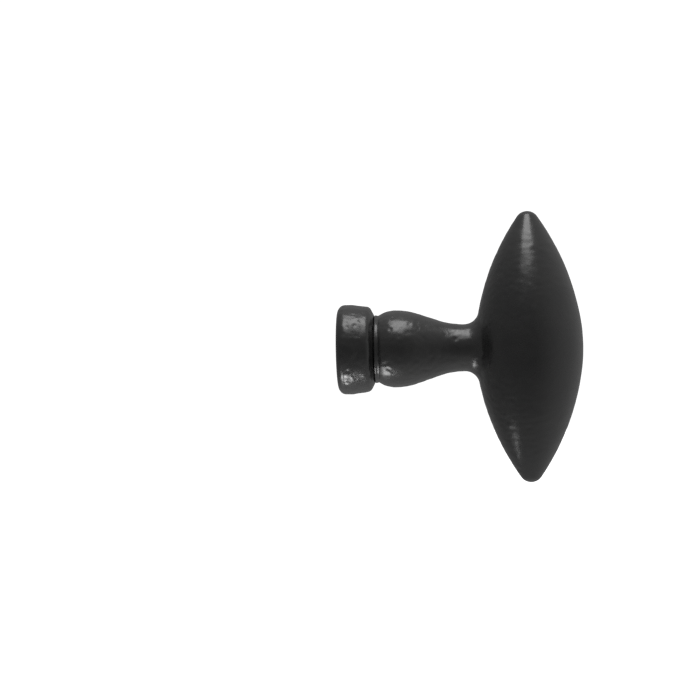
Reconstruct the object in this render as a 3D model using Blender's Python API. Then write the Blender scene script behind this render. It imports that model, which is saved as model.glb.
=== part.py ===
"""Olive-shaped cast pull knob on a turned stem, with its foot collar and its fixing screw.

Frame: the origin is the centre of the foot's flat face, which sits on the door. +X runs along
the stem, away from the door. +Z runs along the long axis of the olive, and Y is its width.
Everything round on the stem's axis is drawn as an outline of (distance along X, radius).
"""

import math

import bmesh
import bpy

MM = 0.001

# Olive grip: three arcs from the belly to each tip, oval in cross-section
OLIVE_LENGTH = 60.0 * MM
OLIVE_DEPTH = 23.8 * MM
OLIVE_WIDTH = 24.8 * MM
OLIVE_CENTRE_X = 42.35 * MM
BELLY_RADIUS = 37.5 * MM
BELLY_ANGLE = math.radians(8.5)
FLANK_RADIUS = 55.0 * MM

# Stem, from its shoulder on the collar to the neck under the olive
SHOULDER_X = 8.1 * MM
GROOVE_DIAMETER = 14.9 * MM
GROOVE_END_X = 9.09 * MM
GROOVE_FILLET = 0.8 * MM
BULB_DIAMETER = 17.15 * MM
BULB_X = 12.9 * MM
BULB_BACK_RADIUS = 7.0 * MM
BULB_FRONT_RADIUS = 14.8 * MM
STEM_TAPER = math.radians(19.0)
NECK_DIAMETER = 10.45 * MM
NECK_X = 28.2 * MM
NECK_RADIUS = 18.3 * MM
OLIVE_FILLET = 3.2 * MM
STEM_CORE_X = 37.6 * MM
STEM_CORE_DIAMETER = 5.2 * MM

# Spigot that carries the collar, and the tapped hole for the fixing screw
SPIGOT_DIAMETER = 10.3 * MM
SPIGOT_X = 4.6 * MM
HOLE_DIAMETER = 4.3 * MM
HOLE_END_X = 35.5 * MM
DRILL_POINT = math.radians(59)

# Foot collar: a separate turned ring that narrows a little, then steeply to its front end
COLLAR_LENGTH = 8.05 * MM
COLLAR_DIAMETER = 19.9 * MM
COLLAR_TAPER_X = 3.2 * MM
COLLAR_SHOULDER_X = 7.15 * MM
COLLAR_SHOULDER_DIAMETER = 18.84 * MM
COLLAR_FRONT_DIAMETER = 15.4 * MM
COLLAR_FOOT_EDGE = 1.8 * MM
COLLAR_SHOULDER_EDGE = 1.8 * MM
COLLAR_BORE = 10.4 * MM
COLLAR_MOUTH_CHAMFER = 0.3 * MM

# Fixing screw, M4 x 30 pan head with a cross recess, wound fully home
SCREW_DIAMETER = 4.0 * MM
SCREW_LENGTH = 30.0 * MM
SCREW_TIP_CHAMFER = 0.5 * MM
HEAD_DIAMETER = 8.0 * MM
HEAD_HEIGHT = 3.1 * MM
HEAD_EDGE = 2.2 * MM
RECESS_SPAN = 4.3 * MM
RECESS_WIDTH = 1.0 * MM
RECESS_DEPTH = 2.0 * MM
RECESS_TAPER = 0.45

# Plain washer between the screw head and the spigot's end
WASHER_DIAMETER = 9.0 * MM
WASHER_HOLE = 4.3 * MM
WASHER_THICKNESS = 0.8 * MM
SEAT_GAP = 0.05 * MM

WASHER_X = SPIGOT_X - SEAT_GAP - WASHER_THICKNESS
HEAD_SEAT_X = WASHER_X - SEAT_GAP

# How finely the curves are drawn
BODY_SEGMENTS = 64
SCREW_SEGMENTS = 32
CHORD_ERROR = 0.02 * MM
FILLET_RINGS = 6
FILLET_SAMPLES = 24
UNION_DEPTH = 0.10 * MM
TOLERANCE = 0.001 * MM
SMOOTH_ANGLE = math.radians(35)


def clear_scene():
    for existing in list(bpy.data.objects):
        bpy.data.objects.remove(existing, do_unlink=True)


def material(name, colour, roughness, metallic):
    made = bpy.data.materials.new(name)
    made.use_nodes = True
    shader = made.node_tree.nodes["Principled BSDF"]
    shader.inputs["Base Color"].default_value = (*colour, 1.0)
    shader.inputs["Roughness"].default_value = roughness
    shader.inputs["Metallic"].default_value = metallic
    return made


def add_object(name, bm, slot, origin=(0.0, 0.0, 0.0)):
    """An object from a bmesh in the part's frame, with its own origin put at the given point."""
    bmesh.ops.translate(bm, verts=bm.verts, vec=[-value for value in origin])
    bmesh.ops.recalc_face_normals(bm, faces=bm.faces)
    mesh = bpy.data.meshes.new(name)
    bm.to_mesh(mesh)
    bm.free()
    mesh.shade_smooth()
    mesh.set_sharp_from_angle(angle=SMOOTH_ANGLE)
    if slot:
        mesh.materials.append(slot)
    made = bpy.data.objects.new(name, mesh)
    made.location = origin
    bpy.context.scene.collection.objects.link(made)
    return made


def boolean(target, operation, tool):
    """Join or cut target with tool, which stays in the file as a hidden wire shape."""
    tool.hide_render = True
    tool.display_type = "WIRE"
    step = target.modifiers.new(tool.name, "BOOLEAN")
    step.operation = operation
    step.object = tool
    step.solver = "EXACT"


def arc(centre, radius, start, end):
    """Points of an arc, both ends included, whose chords stay within CHORD_ERROR of it."""
    longest = 2 * math.acos(1 - CHORD_ERROR / radius)
    steps = max(2, math.ceil(abs(end - start) / longest))
    angles = [start + (end - start) * i / steps for i in range(steps + 1)]
    return [(centre[0] + radius * math.cos(a), centre[1] + radius * math.sin(a)) for a in angles]


def rounded(before, corner, after, radius):
    """The arc that rounds a corner of an outline."""
    towards = [
        ((end[0] - corner[0]) / math.dist(end, corner), (end[1] - corner[1]) / math.dist(end, corner))
        for end in (before, after)
    ]
    half = math.acos(towards[0][0] * towards[1][0] + towards[0][1] * towards[1][1]) / 2
    middle = (towards[0][0] + towards[1][0], towards[0][1] + towards[1][1])
    reach = radius / math.sin(half) / math.hypot(*middle)
    centre = (corner[0] + middle[0] * reach, corner[1] + middle[1] * reach)
    ends = [
        math.atan2(
            corner[1] + t[1] * radius / math.tan(half) - centre[1],
            corner[0] + t[0] * radius / math.tan(half) - centre[0],
        )
        for t in towards
    ]
    turn = (ends[1] - ends[0] + math.pi) % (2 * math.pi) - math.pi
    return arc(centre, radius, ends[0], ends[0] + turn)


def turned(outline, segments, closed=False):
    """A body of revolution about the X axis. An open outline starts and ends on the axis."""
    bm = bmesh.new()
    points = [bm.verts.new((x, 0.0, radius)) for x, radius in outline]
    pairs = list(zip(points, points[1:])) + ([(points[-1], points[0])] if closed else [])
    edges = [bm.edges.new(pair) for pair in pairs]
    bmesh.ops.spin(
        bm,
        geom=edges,
        cent=(0.0, 0.0, 0.0),
        axis=(1.0, 0.0, 0.0),
        angle=2 * math.pi,
        steps=segments,
        use_merge=True,
    )
    bmesh.ops.remove_doubles(bm, verts=bm.verts, dist=TOLERANCE)
    return bm


def olive_arcs():
    """The belly, flank and tip arcs as (centre x, centre z, radius, first angle, last angle).

    Each angle is that of the surface's normal above the X axis, so the arcs meet tangentially.
    """
    half_depth, half_length = OLIVE_DEPTH / 2, OLIVE_LENGTH / 2
    belly_x = half_depth - BELLY_RADIUS
    step = BELLY_RADIUS - FLANK_RADIUS
    flank_x = belly_x + step * math.cos(BELLY_ANGLE)
    flank_z = step * math.sin(BELLY_ANGLE)
    reach = half_length - flank_z
    tip_radius = (FLANK_RADIUS**2 - flank_x**2 - reach**2) / (2 * (FLANK_RADIUS - reach))
    tip_z = half_length - tip_radius
    tip_angle = math.atan2(tip_z - flank_z, -flank_x)
    return [
        (belly_x, 0.0, BELLY_RADIUS, 0.0, BELLY_ANGLE),
        (flank_x, flank_z, FLANK_RADIUS, BELLY_ANGLE, tip_angle),
        (0.0, tip_z, tip_radius, tip_angle, math.pi / 2),
    ]


def olive_half_depth(z):
    """The olive's half depth along X at a height z."""
    height = abs(z)
    for x, base, radius, _, last in olive_arcs():
        if height <= base + radius * math.sin(last):
            return x + math.sqrt(max(radius**2 - (height - base) ** 2, 0.0))
    return 0.0


def olive_form():
    """The olive alone: half of its outline spun about Z, then widened along Y."""
    upper = []
    for x, z, radius, first, last in olive_arcs():
        upper += arc((x, z), radius, first, last)
    outline = [(x, -z) for x, z in reversed(upper)] + upper
    bm = bmesh.new()
    points = [bm.verts.new((max(x, 0.0), 0.0, z)) for x, z in outline]
    edges = [bm.edges.new(pair) for pair in zip(points, points[1:])]
    bmesh.ops.spin(
        bm,
        geom=edges,
        cent=(0.0, 0.0, 0.0),
        axis=(0.0, 0.0, 1.0),
        angle=2 * math.pi,
        steps=BODY_SEGMENTS,
        use_merge=True,
    )
    bmesh.ops.remove_doubles(bm, verts=bm.verts, dist=TOLERANCE)
    bmesh.ops.scale(bm, verts=bm.verts, vec=(1.0, OLIVE_WIDTH / OLIVE_DEPTH, 1.0))
    bmesh.ops.translate(bm, verts=bm.verts, vec=(OLIVE_CENTRE_X, 0.0, 0.0))
    return bm


def olive_back_x(radius, turn):
    """Where the olive's back surface is, at a radius and an angle about the stem's axis."""
    y, z = radius * math.cos(turn), radius * math.sin(turn)
    half_depth = olive_half_depth(z)
    share = y / (half_depth * OLIVE_WIDTH / OLIVE_DEPTH)
    return OLIVE_CENTRE_X - half_depth * math.sqrt(1.0 - share**2)


def fillet_section(turn):
    """The fillet between neck and olive at an angle about the stem, as (x, radius) points.

    Its circle touches the neck and dips UNION_DEPTH into the olive, for a clean union.
    """
    neck = NECK_DIAMETER / 2
    level = neck + OLIVE_FILLET
    radii = [neck + OLIVE_FILLET * i / FILLET_SAMPLES for i in range(FILLET_SAMPLES + 1)]
    surface = [(olive_back_x(radius, turn), radius) for radius in radii]
    low, high = NECK_X - OLIVE_FILLET, olive_back_x(level, turn)
    while high - low > TOLERANCE:
        middle = (low + high) / 2
        nearest = min(surface, key=lambda point: math.dist(point, (middle, level)))
        if math.dist(nearest, (middle, level)) > OLIVE_FILLET - UNION_DEPTH:
            low = middle
        else:
            high = middle
    last = math.atan2(nearest[1] - level, nearest[0] - low)
    angles = [-math.pi / 2 + (last + math.pi / 2) * i / FILLET_RINGS for i in range(FILLET_RINGS + 1)]
    return [(low + OLIVE_FILLET * math.cos(a), level + OLIVE_FILLET * math.sin(a)) for a in angles]


def stem_outline():
    """The stem from the spigot's rim to the end of the neck's curve."""
    spigot, groove = SPIGOT_DIAMETER / 2, GROOVE_DIAMETER / 2
    bulb, neck = BULB_DIAMETER / 2, NECK_DIAMETER / 2
    # the taper is tangent to both arcs, so its corners lie half a taper's tangent from each
    bulb_corner = (BULB_X + BULB_FRONT_RADIUS * math.tan(STEM_TAPER / 2), bulb)
    neck_corner = (bulb_corner[0] + (bulb - neck) / math.tan(STEM_TAPER), neck)
    back_start = math.asin((BULB_X - GROOVE_END_X) / BULB_BACK_RADIUS)
    bulb_back = arc(
        (BULB_X, bulb - BULB_BACK_RADIUS),
        BULB_BACK_RADIUS,
        math.pi / 2 + back_start,
        math.pi / 2,
    )
    groove_foot = (SHOULDER_X, groove)
    return [
        (SPIGOT_X, spigot),
        (SHOULDER_X, spigot),
        groove_foot,
        *rounded(groove_foot, (bulb_back[0][0], groove), bulb_back[1], GROOVE_FILLET),
        *bulb_back[1:-1],
        *rounded((BULB_X, bulb), bulb_corner, neck_corner, BULB_FRONT_RADIUS),
        *rounded(bulb_corner, neck_corner, (NECK_X + NECK_RADIUS, neck), NECK_RADIUS),
    ]


def stem_form():
    """The turned stem and its fillet, whose rings follow the olive's back, ending inside it."""
    turns = [2 * math.pi * i / BODY_SEGMENTS for i in range(BODY_SEGMENTS)]
    fillets = [fillet_section(turn) for turn in turns]
    sections = [stem_outline() + fillet for fillet in fillets]
    inner = [(STEM_CORE_X, STEM_CORE_DIAMETER / 2)]
    bm = bmesh.new()
    columns = []
    for turn, section in zip(turns, sections):
        side, up = math.cos(turn), math.sin(turn)
        columns.append([bm.verts.new((x, r * side, r * up)) for x, r in section + inner])
    for left, right in zip(columns, columns[1:] + columns[:1]):
        for i in range(len(left) - 1):
            bm.faces.new((left[i], left[i + 1], right[i + 1], right[i]))
    bm.faces.new([column[0] for column in columns])
    bm.faces.new([column[-1] for column in reversed(columns)])
    return bm


def tapped_hole_form():
    """The blind hole for the screw, at its clearance size, with a drill point."""
    radius = HOLE_DIAMETER / 2
    point = radius / math.tan(DRILL_POINT)
    start = SPIGOT_X - HOLE_DIAMETER
    outline = [(start, 0.0), (start, radius), (HOLE_END_X, radius), (HOLE_END_X + point, 0.0)]
    return turned(outline, SCREW_SEGMENTS)


def knob_casting(slot):
    casting = add_object("knob_casting", olive_form(), slot)
    boolean(casting, "UNION", add_object("stem_form", stem_form(), None))
    boolean(casting, "DIFFERENCE", add_object("tapped_hole_form", tapped_hole_form(), None))
    return casting


def foot_collar(slot):
    bore, wide = COLLAR_BORE / 2, COLLAR_DIAMETER / 2
    foot_inner = (0.0, bore + COLLAR_MOUTH_CHAMFER)
    foot_corner, taper = (0.0, wide), (COLLAR_TAPER_X, wide)
    shoulder = (COLLAR_SHOULDER_X, COLLAR_SHOULDER_DIAMETER / 2)
    front = (COLLAR_LENGTH, COLLAR_FRONT_DIAMETER / 2)
    outline = [
        (COLLAR_MOUTH_CHAMFER, bore),
        foot_inner,
        *rounded(foot_inner, foot_corner, taper, COLLAR_FOOT_EDGE),
        taper,
        *rounded(taper, shoulder, front, COLLAR_SHOULDER_EDGE),
        front,
        (COLLAR_LENGTH, bore),
    ]
    return add_object("foot_collar", turned(outline, BODY_SEGMENTS, closed=True), slot)


def cross_recess_form():
    """A tapering four-winged recess, open at the screw head's face."""
    face = HEAD_SEAT_X - HEAD_HEIGHT
    loops = []
    bm = bmesh.new()
    for x, scale in ((face - SEAT_GAP, 1.0), (face + RECESS_DEPTH, RECESS_TAPER)):
        wing, half = RECESS_SPAN / 2 * scale, RECESS_WIDTH / 2
        quarter = [(wing, -half), (wing, half), (half, half)]
        loop = []
        for i in range(4):
            side, up = math.cos(i * math.pi / 2), math.sin(i * math.pi / 2)
            loop += [bm.verts.new((x, y * side - z * up, y * up + z * side)) for y, z in quarter]
        loops.append(loop)
    outer, inner = loops
    for i in range(len(outer)):
        j = (i + 1) % len(outer)
        bm.faces.new((outer[i], outer[j], inner[j], inner[i]))
    bm.faces.new(list(reversed(outer)))
    bm.faces.new(inner)
    return bm


def fixing_screw(slot):
    head, shank = HEAD_DIAMETER / 2, SCREW_DIAMETER / 2
    face, tip = HEAD_SEAT_X - HEAD_HEIGHT, HEAD_SEAT_X + SCREW_LENGTH
    crown, crown_corner, rim = (face, 0.0), (face, head), (HEAD_SEAT_X, head)
    outline = [
        crown,
        *rounded(crown, crown_corner, rim, HEAD_EDGE),
        rim,
        (HEAD_SEAT_X, shank),
        (tip - SCREW_TIP_CHAMFER, shank),
        (tip, shank - SCREW_TIP_CHAMFER),
        (tip, 0.0),
    ]
    seat = (HEAD_SEAT_X, 0.0, 0.0)
    screw = add_object("fixing_screw", turned(outline, SCREW_SEGMENTS), slot, seat)
    boolean(screw, "DIFFERENCE", add_object("cross_recess_form", cross_recess_form(), None))
    return screw


def plain_washer(slot):
    hole, rim = WASHER_HOLE / 2, WASHER_DIAMETER / 2
    front = WASHER_X + WASHER_THICKNESS
    outline = [(WASHER_X, hole), (WASHER_X, rim), (front, rim), (front, hole)]
    bm = turned(outline, SCREW_SEGMENTS, closed=True)
    return add_object("plain_washer", bm, slot, (WASHER_X, 0.0, 0.0))


def build():
    clear_scene()
    black_iron = material("black_coated_iron", (0.030, 0.030, 0.032), 0.60, 0.30)
    black_collar = material("black_coated_collar", (0.030, 0.030, 0.032), 0.58, 0.30)
    screw_steel = material("zinc_plated_steel", (0.62, 0.62, 0.60), 0.35, 1.0)
    washer_steel = material("zinc_plated_washer", (0.60, 0.60, 0.58), 0.40, 1.0)
    knob_casting(black_iron)
    foot_collar(black_collar)
    plain_washer(washer_steel)
    fixing_screw(screw_steel)


build()
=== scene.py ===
"""The visual model of an olive-shaped pull knob: fine meshes, materials, floor, lights, camera.

Frame: the origin is the centre of the foot's flat face. +X runs along the stem, away from the
door, +Z along the olive's long axis, and Y is the olive's width. All lengths are in metres.
"""

import math
import random

import bmesh
import bpy
import numpy as np
from mathutils import Matrix, Vector, noise


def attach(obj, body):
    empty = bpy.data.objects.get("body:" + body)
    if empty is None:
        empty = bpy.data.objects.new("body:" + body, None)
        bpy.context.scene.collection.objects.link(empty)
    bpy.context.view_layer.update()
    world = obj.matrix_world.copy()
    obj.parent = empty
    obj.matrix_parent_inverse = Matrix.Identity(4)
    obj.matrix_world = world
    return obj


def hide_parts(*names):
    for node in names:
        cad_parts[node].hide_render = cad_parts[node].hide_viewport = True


MM = 0.001

# Olive
OLIVE_LENGTH = 60.0 * MM
OLIVE_DEPTH = 23.8 * MM
OLIVE_WIDTH = 24.8 * MM
OLIVE_CENTRE_X = 42.35 * MM
BELLY_RADIUS = 37.5 * MM
BELLY_ANGLE = math.radians(8.5)
FLANK_RADIUS = 55.0 * MM

# Stem
SHOULDER_X = 8.1 * MM
GROOVE_RADIUS = 7.38 * MM
GROOVE_FILLET = 0.15 * MM
BEAD_X = 8.5 * MM
BEAD_HALF_WIDTH = 0.40 * MM
BEAD_HEIGHT = 0.18 * MM
BULB_RADIUS = 8.575 * MM
BULB_X = 12.9 * MM
BULB_BACK_RADIUS = 7.0 * MM
BULB_FRONT_RADIUS = 14.8 * MM
STEM_TAPER = math.radians(19.0)
NECK_RADIUS = 5.225 * MM
NECK_ARC_RADIUS = 18.3 * MM
OLIVE_FILLET = 3.2 * MM
STEM_END_X = 38.0 * MM
HOLE_RADIUS = 2.15 * MM

# Foot collar
COLLAR_LENGTH = 8.05 * MM
COLLAR_RADIUS = 9.95 * MM
COLLAR_TAPER_X = 3.2 * MM
COLLAR_SHOULDER_X = 7.15 * MM
COLLAR_SHOULDER_RADIUS = 9.42 * MM
COLLAR_FRONT_RADIUS = 7.7 * MM
COLLAR_FOOT_EDGE = 1.8 * MM
COLLAR_SHOULDER_EDGE = 1.35 * MM
COLLAR_TAPER_BLEND = 6.0 * MM
COLLAR_FRONT_EDGE = 0.12 * MM
COLLAR_BORE_RADIUS = 5.2 * MM
COLLAR_MOUTH_CHAMFER = 0.3 * MM

# Screw and washer
SEAT_X = 3.7 * MM
SCREW_RADIUS = 2.0 * MM
SCREW_LENGTH = 30.0 * MM
THREAD_PITCH = 0.7 * MM
THREAD_DEPTH = 0.42 * MM
THREAD_V_HEIGHT = 1.25
THREAD_V_SLOPE = 2.6
THREAD_RUNOUT = 0.6 * MM
HEAD_RADIUS = 4.0 * MM
HEAD_HEIGHT = 3.1 * MM
HEAD_EDGE = 2.2 * MM
HEAD_SEAT_EDGE = 0.12 * MM
RECESS_SPAN = 4.3 * MM
RECESS_WIDTH = 1.0 * MM
RECESS_DEPTH = 2.0 * MM
RECESS_TAPER = 0.45
WASHER_X = 3.75 * MM
WASHER_RADIUS = 4.5 * MM
WASHER_HOLE_RADIUS = 2.15 * MM
WASHER_THICKNESS = 0.8 * MM
WASHER_EDGE = 0.1 * MM

# How finely the meshes are divided
CASTING_VOXEL = 0.285 * MM
COLLAR_STEP = 0.2 * MM
HEAD_STEP = 0.3 * MM
HEAD_EDGE_STEP = 0.15 * MM
WASHER_STEP = 0.4 * MM
EDGE_STEP = 0.04 * MM
SCREW_SEGMENTS = 64
WASHER_SEGMENTS = 96
ROWS_PER_THREAD_TURN = 10

# The casting's skin is faired and roughened past these places and clear of its hole. Fairing moves
# only the points within its reach.
FAIR_FROM_X = SHOULDER_X + 0.15 * MM
RELIEF_FROM_X = SHOULDER_X + 0.4 * MM
HOLE_MARGIN = 0.8 * MM
FAIR_REACH = 0.8 * MM
FAIR_PASSES = 3

# The collar's relief starts here and grows over the fade. It stops short of the bore.
COLLAR_RELIEF_FROM_X = 0.2 * MM
COLLAR_RELIEF_FADE = 0.8 * MM
BORE_MARGIN = 0.6 * MM

# Cast skin: the heights and sizes of its long waves, orange peel, pits and ripples
LONG_WAVES = 0.035 * MM
LONG_WAVE_SIZE = 6.5 * MM
ROUGH_PEEL = 0.048 * MM
SMOOTH_PEEL = 0.010 * MM
PEEL_SIZE = 1.15 * MM
ROUGH_UNTIL_X = 27 * MM
SMOOTH_FROM_X = 46 * MM
PIT_SIZE = 1.3 * MM
PIT_SHARE = 0.30
PIT_DEPTH = 5
RIPPLE = 0.030 * MM
RIPPLE_SIZE = 0.95 * MM
RIPPLE_STRETCH = (0.4, 0.4, 1.0)
RIPPLE_FROM_Z = 9 * MM
RIPPLE_UNTIL_Z = 27 * MM
RIPPLE_FADE = 5 * MM

# Dents, in millimetres: chosen ones as (x, z, radius, depth) on the -Y side, then the ranges and
# numbers of those strewn all round
COLLAR_DENTS = (
    (2.7, -4.7, 0.60, 0.075),
    (3.6, -5.7, 0.45, 0.040),
    (2.4, -7.3, 0.50, 0.065),
    (5.5, 6.2, 0.55, 0.070),
    (4.2, 5.3, 0.55, 0.065),
    (2.6, 5.0, 0.50, 0.060),
)
BULB_DENTS = (
    (11.4, -4.4, 0.65, 0.085),
    (12.3, -5.1, 0.50, 0.065),
    (10.6, -3.3, 0.55, 0.055),
    (12.0, 4.3, 0.65, 0.085),
    (11.0, 5.0, 0.55, 0.055),
)
COLLAR_DENT_SPAN = (1.2, 6.8)
COLLAR_DENT_COUNT = 45
STEM_DENT_SPAN = (9.3, 27.0)
STEM_DENT_COUNT = 70
STREWN_DENT_RADIUS = (0.35, 0.75)
STREWN_DENT_DEPTH = (0.008, 0.030)

# Colours of the coat and of the zinc plate
COAT_DARK = (0.0095, 0.0095, 0.0099)
COAT_LIGHT = (0.0150, 0.0148, 0.0145)
COAT_FLECK = (0.10, 0.098, 0.095)
ZINC_DARK = (0.50, 0.51, 0.52)
ZINC_LIGHT = (0.66, 0.66, 0.65)
ZINC_MARK = (0.30, 0.29, 0.27)

# Brightness of the room as the knob sees it, along +X +Y +Z and along -X -Y -Z
ROOM_AHEAD = (0.64, 0.22, 0.76)
ROOM_BEHIND = (0.25, 0.22, 0.78)
BACKDROP = 1.1

# Floor
FLOOR_LEVEL = -0.30
FLOOR_REACH = 6.0
FLOOR_GLOW = 0.9

# Camera
CAMERA_PLACE = (0.0271, -0.389, 0.0)
CAMERA_LENS = 90.0
CAMERA_SENSOR = 36.0
CAMERA_PAN = math.radians(3.6)
CAMERA_TILT = math.radians(-0.010)
CAMERA_ROLL = math.radians(-1.0)


def arc(centre, radius, start, end, step):
    """Points of an arc, both ends included, no further apart than step."""
    steps = max(3, math.ceil(abs(end - start) * radius / step))
    angles = [start + (end - start) * i / steps for i in range(steps + 1)]
    return [(centre[0] + radius * math.cos(a), centre[1] + radius * math.sin(a)) for a in angles]


def rounded(before, corner, after, radius, step):
    """The arc that rounds a corner of an outline."""
    first = (Vector(before) - Vector(corner)).normalized()
    second = (Vector(after) - Vector(corner)).normalized()
    half = first.angle(second) / 2
    centre = Vector(corner) + (first + second).normalized() * radius / math.sin(half)
    ends = []
    for way in (first, second):
        touch = Vector(corner) + way * radius / math.tan(half) - centre
        ends.append(math.atan2(touch.y, touch.x))
    turn = (ends[1] - ends[0] + math.pi) % (2 * math.pi) - math.pi
    return arc(centre, radius, ends[0], ends[0] + turn, step)


def divided(outline, step, closed):
    """An outline with points added so that none are further apart than step."""
    dense = []
    pairs = list(zip(outline, outline[1:])) + ([(outline[-1], outline[0])] if closed else [])
    for (x0, r0), (x1, r1) in pairs:
        parts = max(1, math.ceil(math.hypot(x1 - x0, r1 - r0) / step))
        dense += [(x0 + (x1 - x0) * i / parts, r0 + (r1 - r0) * i / parts) for i in range(parts)]
    return dense if closed else dense + [outline[-1]]


def new_object(name, mesh):
    """An object of a mesh, linked to the scene."""
    made = bpy.data.objects.new(name, mesh)
    bpy.context.scene.collection.objects.link(made)
    return made


def grid_mesh(name, rings, closed):
    """A mesh from rings of points. A ring that lies on the axis becomes one point."""
    bm = bmesh.new()
    rows = [[bm.verts.new(point) for point in loop] for loop in rings]
    pairs = list(zip(rows, rows[1:])) + ([(rows[-1], rows[0])] if closed else [])
    for lower, upper in pairs:
        for i in range(len(lower)):
            j = (i + 1) % len(lower)
            bm.faces.new((lower[i], lower[j], upper[j], upper[i]))
    bmesh.ops.remove_doubles(bm, verts=bm.verts, dist=0.001 * MM)
    bmesh.ops.recalc_face_normals(bm, faces=bm.faces)
    mesh = bpy.data.meshes.new(name)
    bm.to_mesh(mesh)
    bm.free()
    return mesh


def ring(x, radius, segments):
    """One ring of points about the X axis. Radius is a number or a function of the angle."""
    angles = [2 * math.pi * i / segments for i in range(segments)]
    radii = [radius(a) if callable(radius) else radius for a in angles]
    return [(x, r * math.cos(a), r * math.sin(a)) for a, r in zip(angles, radii)]


def coordinates(mesh):
    """A mesh's points as an array with one row each."""
    values = np.empty(len(mesh.vertices) * 3)
    mesh.vertices.foreach_get("co", values)
    return values.reshape(-1, 3)


def normals(mesh):
    """The outward directions at a mesh's points, one row each."""
    values = np.empty(len(mesh.vertices) * 3)
    mesh.vertices.foreach_get("normal", values)
    return values.reshape(-1, 3)


def set_coordinates(mesh, points):
    """Moves a mesh's points to new places."""
    mesh.vertices.foreach_set("co", points.astype(np.float32).ravel())
    mesh.update()


def remeshed(node, voxel):
    """A copy of a CAD node's mesh as one closed skin of even small faces."""
    source = new_object("remesh_source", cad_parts[node].data.copy())
    step = source.modifiers.new("even_skin", "REMESH")
    step.mode = "VOXEL"
    step.voxel_size = voxel
    graph = bpy.context.evaluated_depsgraph_get()
    mesh = bpy.data.meshes.new_from_object(source.evaluated_get(graph))
    bpy.data.objects.remove(source)
    return mesh


def olive_distance(points):
    """Signed distance to the olive: three tangent arcs from belly to tip, oval in section."""
    half_depth, half_length = OLIVE_DEPTH / 2, OLIVE_LENGTH / 2
    belly_x = half_depth - BELLY_RADIUS
    step = BELLY_RADIUS - FLANK_RADIUS
    flank_x = belly_x + step * math.cos(BELLY_ANGLE)
    flank_z = step * math.sin(BELLY_ANGLE)
    reach = half_length - flank_z
    tip_radius = (FLANK_RADIUS**2 - flank_x**2 - reach**2) / (2 * (FLANK_RADIUS - reach))
    tip_z = half_length - tip_radius
    tip_angle = math.atan2(tip_z - flank_z, -flank_x)
    depth = np.hypot(points[:, 0] - OLIVE_CENTRE_X, points[:, 1] * OLIVE_DEPTH / OLIVE_WIDTH)
    height = np.abs(points[:, 2])
    belly = np.hypot(depth - belly_x, height) - BELLY_RADIUS
    flank = np.hypot(depth - flank_x, height - flank_z) - FLANK_RADIUS
    tip = np.hypot(depth, height - tip_z) - tip_radius
    past_belly = np.arctan2(height, depth - belly_x) > BELLY_ANGLE
    past_flank = np.arctan2(height - flank_z, depth - flank_x) > tip_angle
    return np.where(past_flank, tip, np.where(past_belly, flank, belly))


def stem_radius(x):
    """The stem's radius at x: bead, groove, bulb, straight taper, neck."""
    back = BULB_RADIUS - BULB_BACK_RADIUS + np.sqrt(
        np.maximum(BULB_BACK_RADIUS**2 - (x - BULB_X) ** 2, 0)
    )
    blend = np.maximum(GROOVE_FILLET - np.abs(back - GROOVE_RADIUS), 0) / GROOVE_FILLET
    back = np.maximum(back, GROOVE_RADIUS) + blend**2 * GROOVE_FILLET / 4
    back += BEAD_HEIGHT * np.maximum(1 - ((x - BEAD_X) / BEAD_HALF_WIDTH) ** 2, 0)
    bulb_corner = BULB_X + BULB_FRONT_RADIUS * math.tan(STEM_TAPER / 2)
    neck_corner = bulb_corner + (BULB_RADIUS - NECK_RADIUS) / math.tan(STEM_TAPER)
    neck_x = neck_corner + NECK_ARC_RADIUS * math.tan(STEM_TAPER / 2)
    bulb_end = BULB_X + BULB_FRONT_RADIUS * math.sin(STEM_TAPER)
    neck_start = neck_x - NECK_ARC_RADIUS * math.sin(STEM_TAPER)
    front = BULB_RADIUS - BULB_FRONT_RADIUS + np.sqrt(
        np.maximum(BULB_FRONT_RADIUS**2 - (x - BULB_X) ** 2, 0)
    )
    taper = BULB_RADIUS - (x - bulb_corner) * math.tan(STEM_TAPER)
    neck = NECK_RADIUS + NECK_ARC_RADIUS - np.sqrt(
        np.maximum(NECK_ARC_RADIUS**2 - (x - neck_x) ** 2, 0)
    )
    return np.select(
        [x < BULB_X, x < bulb_end, x < neck_start, x < neck_x],
        [back, front, taper, neck],
        NECK_RADIUS,
    )


def stem_distance(points):
    """Signed distance to the stem, which ends inside the olive."""
    x, radius = points[:, 0], np.hypot(points[:, 1], points[:, 2])
    reach = 0.05 * MM
    slope = (stem_radius(x + reach) - stem_radius(x - reach)) / (2 * reach)
    return np.maximum((radius - stem_radius(x)) / np.hypot(1, slope), x - STEM_END_X)


def knob_distance(points):
    """Signed distance to the casting's skin, with a round fillet between neck and olive."""
    stem, olive = stem_distance(points), olive_distance(points)
    ways = [slope_of(distance, points) for distance in (stem_distance, olive_distance)]
    ways = [way / np.linalg.norm(way, axis=1)[:, None] for way in ways]
    lean = np.clip((ways[0] * ways[1]).sum(1), -0.95, 0.95)
    above, behind = OLIVE_FILLET - stem, OLIVE_FILLET - olive
    in_fillet = (above > lean * behind) & (behind > lean * above)
    reach = (above**2 + behind**2 - 2 * above * behind * lean) / (1 - lean**2)
    fillet = OLIVE_FILLET - np.sqrt(np.maximum(reach, 0))
    return np.where(in_fillet, fillet, np.minimum(stem, olive))


def slope_of(distance, points):
    """The gradient of a distance function at each point."""
    reach = 0.02 * MM
    columns = []
    for axis in np.eye(3) * reach:
        columns.append((distance(points + axis) - distance(points - axis)) / (2 * reach))
    return np.stack(columns, axis=1)


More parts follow.
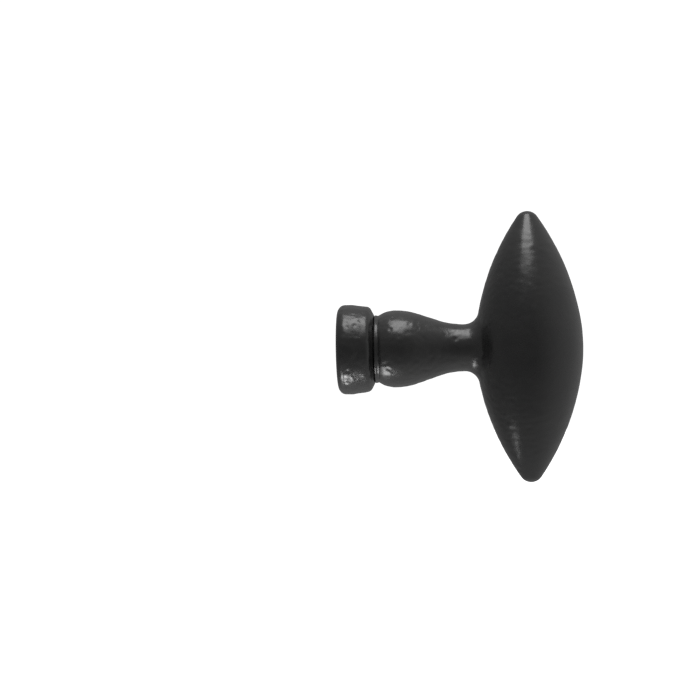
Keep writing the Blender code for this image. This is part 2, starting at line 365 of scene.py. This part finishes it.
def outer_skin(points, first_x):
    """Which points are on the casting's outer skin past first_x, and not in its tapped hole."""
    radius = np.hypot(points[:, 1], points[:, 2])
    beside_hole = (points[:, 0] > first_x) & (radius > HOLE_RADIUS + HOLE_MARGIN)
    return beside_hole | (points[:, 0] > STEM_END_X)


def fair(points, skin):
    """Moves the points that lie near the true skin exactly onto it."""
    outside = outer_skin(points, FAIR_FROM_X)
    moved = points.copy()
    for _ in range(FAIR_PASSES):
        off = skin(moved)
        gradient = slope_of(skin, moved)
        step = off[:, None] * gradient / np.maximum((gradient**2).sum(1), 0.1)[:, None]
        near = outside & (np.abs(off) < FAIR_REACH)
        moved[near] -= step[near]
    return moved


def relief(points, scale, seed):
    """Smooth noise, about -1 to 1, with bumps of about the given size."""
    shift = Vector((seed * 7.3, seed * 3.1, seed * 5.7))
    return np.array([noise.noise(Vector(p) / scale + shift) for p in points])


def casting_relief(points):
    """How far a coated casting's skin stands from true: long waves, orange peel and ripples."""
    share = np.clip((points[:, 0] - ROUGH_UNTIL_X) / (SMOOTH_FROM_X - ROUGH_UNTIL_X), 0, 1)
    peel = ROUGH_PEEL * (1 - share) + SMOOTH_PEEL * share
    height = np.abs(points[:, 2])
    flank = np.clip((height - RIPPLE_FROM_Z) / RIPPLE_FADE, 0, 1)
    flank *= np.clip((RIPPLE_UNTIL_Z - height) / RIPPLE_FADE, 0, 1)
    ripple = RIPPLE * flank * relief(points * RIPPLE_STRETCH, RIPPLE_SIZE, seed=4)
    waves = LONG_WAVES * relief(points, LONG_WAVE_SIZE, seed=1)
    pits = np.clip(relief(points, PIT_SIZE, seed=3) - PIT_SHARE, 0, 1)
    return waves + ripple + peel * (relief(points, PEEL_SIZE, seed=2) - PIT_DEPTH * pits**1.5)


def dents_on(skin_radius, chosen, span, count, seed):
    """Dents as (centre, radius, depth): chosen ones on the -Y side, then others all round."""
    chance = random.Random(seed)
    dents = []
    for x, z, radius, depth in chosen:
        out = skin_radius(x)
        centre = np.array((x * MM, -math.sqrt(out**2 - (z * MM) ** 2), z * MM))
        dents.append((centre, radius * MM, depth * MM))
    for _ in range(count):
        x, turn = chance.uniform(*span), chance.uniform(0, 2 * math.pi)
        out = skin_radius(x)
        centre = np.array((x * MM, out * math.cos(turn), out * math.sin(turn)))
        radius = chance.uniform(*STREWN_DENT_RADIUS) * MM
        depth = chance.uniform(*STREWN_DENT_DEPTH) * MM
        dents.append((centre, radius, depth))
    return dents


def stem_dents():
    """Dents in the bulb and the neck."""

    def skin_radius(x):
        return float(stem_radius(np.array([x * MM]))[0])

    return dents_on(skin_radius, BULB_DENTS, STEM_DENT_SPAN, STEM_DENT_COUNT, seed=5)


def collar_dents():
    """Dents in the collar's rim."""
    taper = (COLLAR_TAPER_X, COLLAR_SHOULDER_X)

    def skin_radius(x):
        return np.interp(x * MM, taper, (COLLAR_RADIUS, COLLAR_SHOULDER_RADIUS))

    return dents_on(skin_radius, COLLAR_DENTS, COLLAR_DENT_SPAN, COLLAR_DENT_COUNT, seed=9)


def dented(points, dents):
    """How far the skin stands from true at dents, each with a faintly raised rim."""
    depth = np.zeros(len(points))
    for centre, radius, deepest in dents:
        spread = ((points - centre) ** 2).sum(1) / radius**2
        depth -= deepest * (1 - spread) * np.exp(-spread)
    return depth


def knob_casting():
    """Olive, neck and bulb in one skin, with the relief of a coated casting."""
    mesh = remeshed("knob_casting", CASTING_VOXEL)
    points = fair(coordinates(mesh), knob_distance)
    set_coordinates(mesh, points)
    skin = outer_skin(points, RELIEF_FROM_X)
    depth = (casting_relief(points) + dented(points, stem_dents())) * skin
    set_coordinates(mesh, points + normals(mesh) * depth[:, None])
    mesh.shade_smooth()
    return new_object("cast_knob", mesh)


def collar_outline():
    """The collar's section as (x, radius), from the foot's mouth over the rim to the bore."""
    bore = COLLAR_BORE_RADIUS
    foot_inner = (0.0, bore + COLLAR_MOUTH_CHAMFER)
    foot_corner = (0.0, COLLAR_RADIUS)
    taper = (COLLAR_TAPER_X, COLLAR_RADIUS)
    shoulder = (COLLAR_SHOULDER_X, COLLAR_SHOULDER_RADIUS)
    front = (COLLAR_LENGTH, COLLAR_FRONT_RADIUS)
    front_inner = (COLLAR_LENGTH, bore)
    return [
        (COLLAR_MOUTH_CHAMFER, bore),
        foot_inner,
        *rounded(foot_inner, foot_corner, taper, COLLAR_FOOT_EDGE, COLLAR_STEP),
        *rounded(foot_corner, taper, shoulder, COLLAR_TAPER_BLEND, COLLAR_STEP),
        *rounded(taper, shoulder, front, COLLAR_SHOULDER_EDGE, COLLAR_STEP),
        *rounded(shoulder, front, front_inner, COLLAR_FRONT_EDGE, EDGE_STEP),
        front_inner,
    ]


def foot_collar():
    """The turned ring. Its relief fades out towards the flat foot and the bore."""
    segments = round(2 * math.pi * COLLAR_RADIUS / COLLAR_STEP)
    outline = divided(collar_outline(), COLLAR_STEP, closed=True)
    mesh = grid_mesh("foot_ring", [ring(x, r, segments) for x, r in outline], closed=True)
    points = coordinates(mesh)
    radius = np.hypot(points[:, 1], points[:, 2])
    fade = np.clip((points[:, 0] - COLLAR_RELIEF_FROM_X) / COLLAR_RELIEF_FADE, 0, 1)
    fade *= np.clip((radius - COLLAR_BORE_RADIUS - BORE_MARGIN) / BORE_MARGIN, 0, 1)
    depth = (casting_relief(points) + dented(points, collar_dents())) * fade
    set_coordinates(mesh, points + normals(mesh) * depth[:, None])
    mesh.shade_smooth()
    return new_object("foot_ring", mesh)


def thread_radius(x, tip):
    """The screw's radius as a function of the angle: a V thread, cut flat, that ends at the tip."""

    def radius(angle):
        phase = ((x - SEAT_X) / THREAD_PITCH - angle / (2 * math.pi)) % 1.0
        height = np.clip(THREAD_V_HEIGHT - THREAD_V_SLOPE * abs(phase - 0.5), 0, 1)
        crest = min(SCREW_RADIUS, SCREW_RADIUS - THREAD_RUNOUT + (tip - x))
        return min(crest, SCREW_RADIUS - THREAD_DEPTH * (1 - height))

    return radius


def cross_recess():
    """The tapering four-winged cutter for the screw's recess."""
    face = SEAT_X - HEAD_HEIGHT
    clear_of_face = face - 0.2 * MM
    bm = bmesh.new()
    loops = []
    for x, scale in ((clear_of_face, 1.0), (face + RECESS_DEPTH, RECESS_TAPER)):
        wing, half = RECESS_SPAN / 2 * scale, RECESS_WIDTH / 2
        loop = []
        for i in range(4):
            turn = Matrix.Rotation(i * math.pi / 2, 3, "X")
            for y, z in ((wing, -half), (wing, half), (half, half)):
                loop.append(bm.verts.new(turn @ Vector((x, y, z))))
        loops.append(loop)
    for i in range(12):
        j = (i + 1) % 12
        bm.faces.new((loops[0][i], loops[0][j], loops[1][j], loops[1][i]))
    bm.faces.new(loops[0])
    bm.faces.new(loops[1])
    bmesh.ops.recalc_face_normals(bm, faces=bm.faces)
    mesh = bpy.data.meshes.new("cross_recess")
    bm.to_mesh(mesh)
    bm.free()
    return new_object("cross_recess", mesh)


def pan_head_screw():
    """The M4 screw: pan head with a cross recess, then a threaded shank."""
    face, tip = SEAT_X - HEAD_HEIGHT, SEAT_X + SCREW_LENGTH
    crown, corner, rim = (face, 0.0), (face, HEAD_RADIUS), (SEAT_X, HEAD_RADIUS)
    neck = (SEAT_X, SCREW_RADIUS)
    head = [
        crown,
        *rounded(crown, corner, rim, HEAD_EDGE, HEAD_EDGE_STEP),
        *rounded(corner, rim, neck, HEAD_SEAT_EDGE, EDGE_STEP),
    ]
    outline = divided(head, HEAD_STEP, closed=False)
    rings = [ring(x, max(r, 0.0), SCREW_SEGMENTS) for x, r in outline]
    rows = round(SCREW_LENGTH / (THREAD_PITCH / ROWS_PER_THREAD_TURN))
    for i in range(rows + 1):
        x = SEAT_X + SCREW_LENGTH * i / rows
        rings.append(ring(x, thread_radius(x, tip), SCREW_SEGMENTS))
    rings.append(ring(tip, 0.0, SCREW_SEGMENTS))
    screw = new_object("fixing_screw_m4", grid_mesh("fixing_screw_m4", rings, closed=False))
    cutter = cross_recess()
    cut = screw.modifiers.new("recess", "BOOLEAN")
    cut.operation = "DIFFERENCE"
    cut.solver = "EXACT"
    cut.object = cutter
    graph = bpy.context.evaluated_depsgraph_get()
    screw.data = bpy.data.meshes.new_from_object(screw.evaluated_get(graph))
    screw.modifiers.clear()
    bpy.data.objects.remove(cutter)
    screw.data.shade_smooth()
    screw.data.set_sharp_from_angle(angle=math.radians(40))
    return screw


def washer():
    """The M4 plain washer, a flat ring with small round edges."""
    hole, rim = WASHER_HOLE_RADIUS, WASHER_RADIUS
    back, front = WASHER_X, WASHER_X + WASHER_THICKNESS
    corners = [(back, hole), (back, rim), (front, rim), (front, hole)]
    outline = []
    for i, corner in enumerate(corners):
        outline += rounded(corners[i - 1], corner, corners[(i + 1) % 4], WASHER_EDGE, EDGE_STEP)
    outline = divided(outline, WASHER_STEP, closed=True)
    mesh = grid_mesh("washer_m4", [ring(x, r, WASHER_SEGMENTS) for x, r in outline], closed=True)
    mesh.shade_smooth()
    return new_object("washer_m4", mesh)


def material(name):
    """A new material's node tree, its Principled shader and its object coordinates."""
    made = bpy.data.materials.new(name)
    made.use_nodes = True
    tree = made.node_tree
    place = tree.nodes.new("ShaderNodeTexCoord")
    return made, tree, tree.nodes["Principled BSDF"], place.outputs["Object"]


def noise_value(tree, place, size, detail=2.0, roughness=0.5):
    """A noise texture whose features are about the given size."""
    texture = tree.nodes.new("ShaderNodeTexNoise")
    texture.inputs["Scale"].default_value = 1 / size
    texture.inputs["Detail"].default_value = detail
    texture.inputs["Roughness"].default_value = roughness
    tree.links.new(place, texture.inputs["Vector"])
    return texture.outputs["Fac"]


def remap(tree, value, low, high, to_low, to_high):
    """Maps a value from one range onto another and keeps it inside."""
    ranged = tree.nodes.new("ShaderNodeMapRange")
    tree.links.new(value, ranged.inputs["Value"])
    ranged.inputs["From Min"].default_value = low
    ranged.inputs["From Max"].default_value = high
    ranged.inputs["To Min"].default_value = to_low
    ranged.inputs["To Max"].default_value = to_high
    return ranged.outputs["Result"]


def from_noise(tree, value, to_low, to_high):
    """Maps the middle of a noise's range onto another range."""
    return remap(tree, value, 0.3, 0.7, to_low, to_high)


def mixed(tree, factor, first, second):
    """A mix of two colours. The first is a colour or another node's output."""
    mix = tree.nodes.new("ShaderNodeMix")
    mix.data_type = "RGBA"
    tree.links.new(factor, mix.inputs["Factor"])
    if isinstance(first, tuple):
        mix.inputs["A"].default_value = (*first, 1.0)
    else:
        tree.links.new(first, mix.inputs["A"])
    mix.inputs["B"].default_value = (*second, 1.0)
    return mix.outputs["Result"]


def specks(tree, place, size, radius, share):
    """Sparse small round specks: 1 inside a speck, 0 outside."""
    cells = tree.nodes.new("ShaderNodeTexVoronoi")
    cells.inputs["Scale"].default_value = 1 / size
    tree.links.new(place, cells.inputs["Vector"])
    spot = remap(tree, cells.outputs["Distance"], radius, radius * 1.6, 1.0, 0.0)
    chosen = tree.nodes.new("ShaderNodeMath")
    chosen.operation = "LESS_THAN"
    split = tree.nodes.new("ShaderNodeSeparateColor")
    tree.links.new(cells.outputs["Color"], split.inputs["Color"])
    tree.links.new(split.outputs["Red"], chosen.inputs[0])
    chosen.inputs[1].default_value = share
    both = tree.nodes.new("ShaderNodeMath")
    both.operation = "MULTIPLY"
    tree.links.new(spot, both.inputs[0])
    tree.links.new(chosen.outputs[0], both.inputs[1])
    return both.outputs[0]


def bump(tree, shader, height, distance, strength):
    """Fine relief on the shader's normal, below what the mesh itself carries."""
    node = tree.nodes.new("ShaderNodeBump")
    node.inputs["Distance"].default_value = distance
    node.inputs["Strength"].default_value = strength
    tree.links.new(height, node.inputs["Height"])
    tree.links.new(node.outputs["Normal"], shader.inputs["Normal"])


def black_coating(name):
    """Matte black coat on iron: cloudy tone, uneven gloss, fine grain and a few bright specks."""
    made, tree, shader, place = material(name)
    clouds = noise_value(tree, place, 7 * MM, detail=4.0, roughness=0.6)
    tone = mixed(tree, from_noise(tree, clouds, 0, 1), COAT_DARK, COAT_LIGHT)
    fleck = specks(tree, place, size=2.6 * MM, radius=0.035, share=0.05)
    tone = mixed(tree, fleck, tone, COAT_FLECK)
    tree.links.new(tone, shader.inputs["Base Color"])
    gloss = noise_value(tree, place, 1.6 * MM, detail=3.0)
    tree.links.new(from_noise(tree, gloss, 0.21, 0.32), shader.inputs["Roughness"])
    shader.inputs["Specular IOR Level"].default_value = 0.5
    fine = noise_value(tree, place, 0.40 * MM, detail=2.0, roughness=0.55)
    bump(tree, shader, fine, distance=0.03 * MM, strength=0.35)
    return made


def zinc_plate(name, dull):
    """Bright zinc plate: slightly blue steel, cloudy, with darker handling marks."""
    made, tree, shader, place = material(name)
    clouds = noise_value(tree, place, 2.2 * MM, detail=4.0, roughness=0.6)
    tone = mixed(tree, from_noise(tree, clouds, 0, 1), ZINC_DARK, ZINC_LIGHT)
    marks = noise_value(tree, place, 0.9 * MM, detail=5.0, roughness=0.7)
    tone = mixed(tree, remap(tree, marks, 0.60, 0.72, 0, 0.8), tone, ZINC_MARK)
    tree.links.new(tone, shader.inputs["Base Color"])
    gloss = noise_value(tree, place, 0.6 * MM, detail=3.0)
    tree.links.new(from_noise(tree, gloss, dull - 0.07, dull + 0.09), shader.inputs["Roughness"])
    shader.inputs["Metallic"].default_value = 1.0
    fine = noise_value(tree, place, 0.15 * MM, detail=2.0)
    bump(tree, shader, fine, distance=0.01 * MM, strength=0.35)
    return made


def finish_piece(piece, body, node, paint):
    """Rides a piece on its body in place of its CAD node, with its material."""
    piece.data.materials.clear()
    piece.data.materials.append(paint)
    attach(piece, body)
    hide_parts(node)


def vector_math(tree, operation, first, second):
    """One vector operation. The second value is a vector or another node's output."""
    node = tree.nodes.new("ShaderNodeVectorMath")
    node.operation = operation
    tree.links.new(first, node.inputs[0])
    if isinstance(second, tuple):
        node.inputs[1].default_value = second
    else:
        tree.links.new(second, node.inputs[1])
    return node.outputs["Value" if operation == "DOT_PRODUCT" else "Vector"]


def make_floor():
    """A plain pale floor well below the knob, which the knob's reflections don't show."""
    mesh = bpy.data.meshes.new("floor")
    signs = ((-1, -1), (1, -1), (1, 1), (-1, 1))
    corners = [(x * FLOOR_REACH, y * FLOOR_REACH, FLOOR_LEVEL) for x, y in signs]
    mesh.from_pydata(corners, [], [(0, 1, 2, 3)])
    floor = new_object("floor", mesh)
    paint = bpy.data.materials.new("pale_floor")
    paint.use_nodes = True
    shader = paint.node_tree.nodes["Principled BSDF"]
    shader.inputs["Base Color"].default_value = (0.92, 0.92, 0.92, 1)
    shader.inputs["Roughness"].default_value = 0.9
    shader.inputs["Emission Color"].default_value = (1, 1, 1, 1)
    shader.inputs["Emission Strength"].default_value = FLOOR_GLOW
    mesh.materials.append(paint)
    floor.visible_diffuse = False
    floor.visible_glossy = False


def make_world():
    """A white backdrop for the camera, and for the knob a room that is brightest above and below."""
    world = bpy.data.worlds.new("studio")
    bpy.context.scene.world = world
    world.use_nodes = True
    tree = world.node_tree
    tree.nodes.clear()
    place = tree.nodes.new("ShaderNodeTexCoord")
    level = tree.nodes.new("ShaderNodeMath")
    level.operation = "ADD"
    for i, (sign, levels) in enumerate(((1, ROOM_AHEAD), (-1, ROOM_BEHIND))):
        facing = vector_math(tree, "MULTIPLY", place.outputs["Generated"], (sign, sign, sign))
        facing = vector_math(tree, "MAXIMUM", facing, (0, 0, 0))
        squared = vector_math(tree, "MULTIPLY", facing, facing)
        tree.links.new(vector_math(tree, "DOT_PRODUCT", squared, levels), level.inputs[i])
    room, backdrop = (tree.nodes.new("ShaderNodeBackground") for _ in range(2))
    room.inputs["Color"].default_value = (1, 1, 1, 1)
    backdrop.inputs["Color"].default_value = (1, 1, 1, 1)
    tree.links.new(level.outputs[0], room.inputs["Strength"])
    backdrop.inputs["Strength"].default_value = BACKDROP
    rays = tree.nodes.new("ShaderNodeLightPath")
    mix = tree.nodes.new("ShaderNodeMixShader")
    tree.links.new(rays.outputs["Is Camera Ray"], mix.inputs["Fac"])
    tree.links.new(room.outputs["Background"], mix.inputs[1])
    tree.links.new(backdrop.outputs["Background"], mix.inputs[2])
    output = tree.nodes.new("ShaderNodeOutputWorld")
    tree.links.new(mix.outputs["Shader"], output.inputs["Surface"])


def soft_light(name, place, target, size, radiance, spread=180):
    """A soft rectangular light that the camera doesn't see. Its beam is spread degrees wide."""
    data = bpy.data.lights.new(name, "AREA")
    data.shape = "RECTANGLE"
    data.size, data.size_y = size
    data.energy = math.pi * size[0] * size[1] * radiance
    data.spread = math.radians(spread)
    light = bpy.data.objects.new(name, data)
    light.location = place
    aim = Vector(target) - Vector(place)
    light.rotation_euler = aim.to_track_quat("-Z", "Y").to_euler()
    light.visible_camera = False
    bpy.context.scene.collection.objects.link(light)


def make_lights():
    """A wide light overhead, a weaker one above the camera and two small ones below the foot."""
    soft_light(
        "overhead",
        place=(0.028, -0.110, 0.487),
        target=(0.027, 0.0, 0.0),
        size=(0.27, 0.27),
        radiance=5.2,
    )
    soft_light(
        "front_top",
        place=(0.018, -0.290, 0.410),
        target=(0.027, 0.0, 0.0),
        size=(0.20, 0.12),
        radiance=2.6,
    )
    soft_light(
        "under_bulb",
        place=(-0.034, -0.014, -0.080),
        target=(0.008, -0.005, -0.005),
        size=(0.056, 0.038),
        radiance=0.48,
        spread=34,
    )
    soft_light(
        "under_foot",
        place=(-0.004, -0.022, -0.082),
        target=(-0.007, -0.008, -0.005),
        size=(0.024, 0.040),
        radiance=0.50,
        spread=24,
    )


def make_camera():
    """A long lens square-on to the knob's middle, turned so that the knob sits at the right."""
    data = bpy.data.cameras.new("camera")
    data.lens = CAMERA_LENS
    data.sensor_width = CAMERA_SENSOR
    camera = bpy.data.objects.new("camera", data)
    bpy.context.scene.collection.objects.link(camera)
    camera.location = CAMERA_PLACE
    level = Matrix.Rotation(math.pi / 2 + CAMERA_TILT, 3, "X")
    turn = Matrix.Rotation(CAMERA_PAN, 3, "Z") @ level @ Matrix.Rotation(CAMERA_ROLL, 3, "Z")
    camera.rotation_euler = turn.to_euler()
    bpy.context.scene.camera = camera


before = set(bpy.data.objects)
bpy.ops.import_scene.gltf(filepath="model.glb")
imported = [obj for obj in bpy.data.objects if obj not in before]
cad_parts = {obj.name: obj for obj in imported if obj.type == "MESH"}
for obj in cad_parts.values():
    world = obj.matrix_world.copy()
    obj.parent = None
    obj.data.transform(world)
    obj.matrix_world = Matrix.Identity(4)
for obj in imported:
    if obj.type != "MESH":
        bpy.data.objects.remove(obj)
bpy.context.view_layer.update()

coat = black_coating("black_coated_iron")
finish_piece(knob_casting(), "knob", "knob_casting", coat)
collar_coat = black_coating("black_coated_collar")
finish_piece(foot_collar(), "knob", "foot_collar", collar_coat)
zinc = zinc_plate("zinc_plated_steel", dull=0.30)
finish_piece(pan_head_screw(), "screw", "fixing_screw", zinc)
washer_zinc = zinc_plate("zinc_plated_washer", dull=0.34)
finish_piece(washer(), "washer", "plain_washer", washer_zinc)

make_floor()
make_world()
make_lights()
make_camera()
bpy.context.scene.view_settings.view_transform = "Standard"
